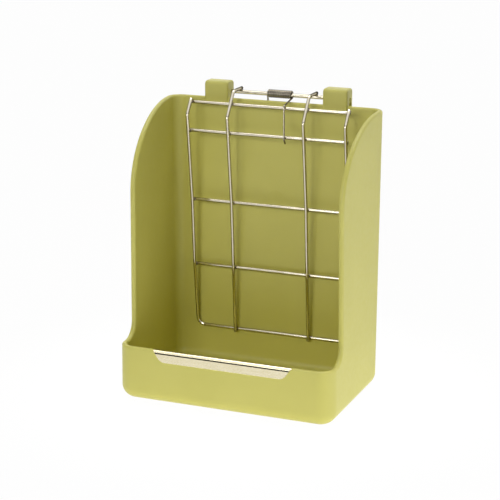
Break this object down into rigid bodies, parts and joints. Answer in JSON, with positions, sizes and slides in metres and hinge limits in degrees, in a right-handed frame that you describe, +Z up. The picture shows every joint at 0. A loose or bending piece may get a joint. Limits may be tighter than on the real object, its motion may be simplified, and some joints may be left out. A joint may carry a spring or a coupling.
{
  "type": "hay feeder box",
  "caption": "Open-fronted plastic hay feeder tub with top hooks, a sprung hinged wire grille and a metal chew guard on the tray's lip.",
  "frame": {"origin": "middle of the bounding box's base, on the surface that the tub stands on", "axes": "+Z up, -Y out of the open front, +X to the right seen from the front"},
  "size_m": [0.1726, 0.1178, 0.2256],
  "materials": {
    "tub": "satin moulded plastic, pale yellow-green",
    "wire": "bright plated wire",
    "spring": "bright spring wire",
    "guard": "smooth stainless sheet"
  },
  "bodies": {
    "feeder": {"feeder_body": "tub", "chew_guard": "guard", "torsion_spring": "spring"},
    "grille": {"hinge_rod": "wire", "grille_frame": "wire", "grille_wire_left": "wire", "grille_wire_right": "wire", "grille_bar_top": "wire", "grille_bar_upper": "wire", "grille_bar_middle": "wire", "grille_bar_lower": "wire"}
  },
  "joints": [
    {"name": "grille_hinge", "type": "hinge", "parent": "feeder", "child": "grille", "pos_m": [0, 0.05312, 0.21755], "axis": [-1, 0, 0], "range_deg": [0, 75], "stiffness_Nm_per_rad": 0.06, "springref_deg": -45.84, "deforming": ["torsion_spring"]}
  ]
}
